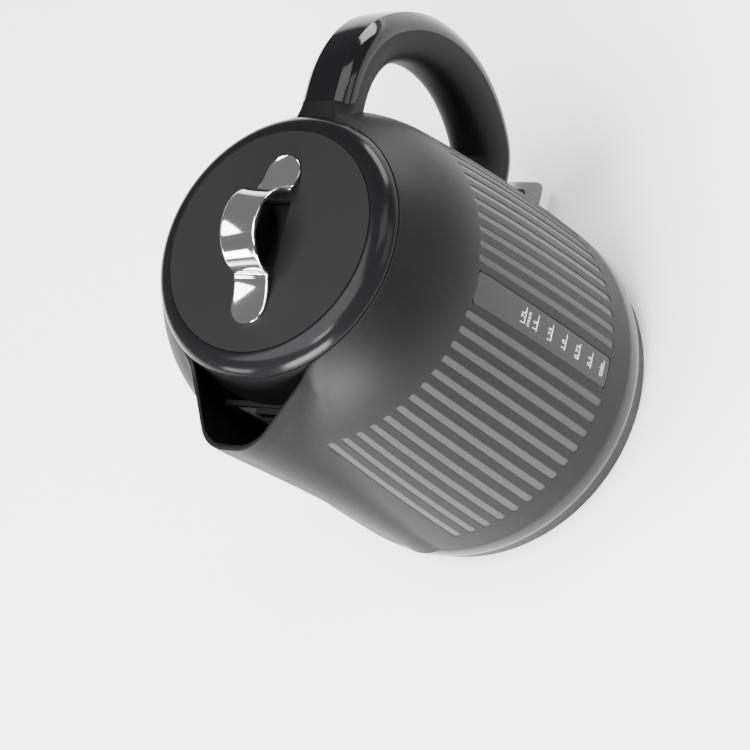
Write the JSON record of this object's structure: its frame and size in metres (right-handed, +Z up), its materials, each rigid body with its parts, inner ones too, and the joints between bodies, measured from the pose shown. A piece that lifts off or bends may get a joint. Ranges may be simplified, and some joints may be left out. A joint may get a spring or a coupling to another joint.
{
  "type": "electric kettle",
  "caption": "Cordless electric kettle: tapered round jug with a ribbed band and water window, broad spout, looped handle, lift-off lid with an arched grip and a rear switch lever.",
  "frame": {"origin": "on the jug's axis, in the plane of the rim that it rests on, 1.5 mm below the socket's mouth", "axes": "+Z up along the jug's axis, spout towards -X, handle and switch towards +X, water window towards -Y"},
  "size_m": [0.2343, 0.1768, 0.2202],
  "materials": {
    "matte_black": "fine matte",
    "gloss_black": "high gloss",
    "lid_black": "smooth matte",
    "smoked_window": "smoked clear",
    "chrome_metal": "polished",
    "satin_steel": "satin",
    "steel": "brushed",
    "aluminium": "cast",
    "brass_contact": "plain",
    "silicone": "matte translucent",
    "inner_plastic": "moulded",
    "lens_grey": "clear smoked",
    "mesh_steel": "woven",
    "wire_brown": "insulation",
    "wire_blue": "insulation",
    "wire_green": "insulation"
  },
  "bodies": {
    "jug": {"jug_body": "matte_black", "water_window": "smoked_window", "rim_collar": "matte_black", "steam_grille": "matte_black", "steam_tube": "silicone", "handle_grip": "matte_black", "handle_cover": "gloss_black", "base_ring": "gloss_black", "base_cover": "matte_black", "base_screws": "steel", "element_plate": "steel", "element_seal": "silicone", "clamp_ring": "steel", "clamp_screws": "steel", "heat_diffuser": "aluminium", "heating_element": "aluminium", "element_terminals": "brass_contact", "control_housing": "inner_plastic", "control_screws": "steel", "bimetal_discs": "brass_contact", "coupler_socket": "inner_plastic", "coupler_contacts": "brass_contact", "live_lead": "wire_brown", "neutral_lead": "wire_blue", "earth_lead": "wire_green", "switch_pivot_pin": "steel", "detent_spring": "steel"},
    "lid": {"lid_ring": "gloss_black", "lid_disc": "lid_black", "lid_arch": "chrome_metal", "arch_nuts": "steel", "lid_plug": "matte_black", "lid_seal": "silicone", "lid_screws": "steel"},
    "switch": {"switch_lever": "matte_black", "switch_trim": "satin_steel", "switch_lens": "lens_grey"},
    "filter": {"filter_frame": "matte_black", "filter_mesh": "mesh_steel"},
    "plunger": {"contact_plunger": "inner_plastic"}
  },
  "joints": [
    {"name": "lid_lift", "type": "slide", "parent": "jug", "child": "lid", "axis": [0, 0, 1], "range_m": [0, 0.06]},
    {"name": "switch_rock", "type": "hinge", "parent": "jug", "child": "switch", "pos_m": [0.076, 0, 0.0164], "axis": [0, 1, 0], "range_deg": [0, 10]},
    {"name": "plunger_slide", "type": "slide", "parent": "jug", "child": "plunger", "axis": [0, 0, 1], "range_m": [0, 0.0028]},
    {"name": "filter_release", "type": "slide", "parent": "jug", "child": "filter", "axis": [1, 0, 0], "range_m": [0, 0.018]}
  ],
  "couplings": [
    {"joint": "plunger_slide", "follows": "switch_rock", "m_per_rad": 0.016}
  ]
}
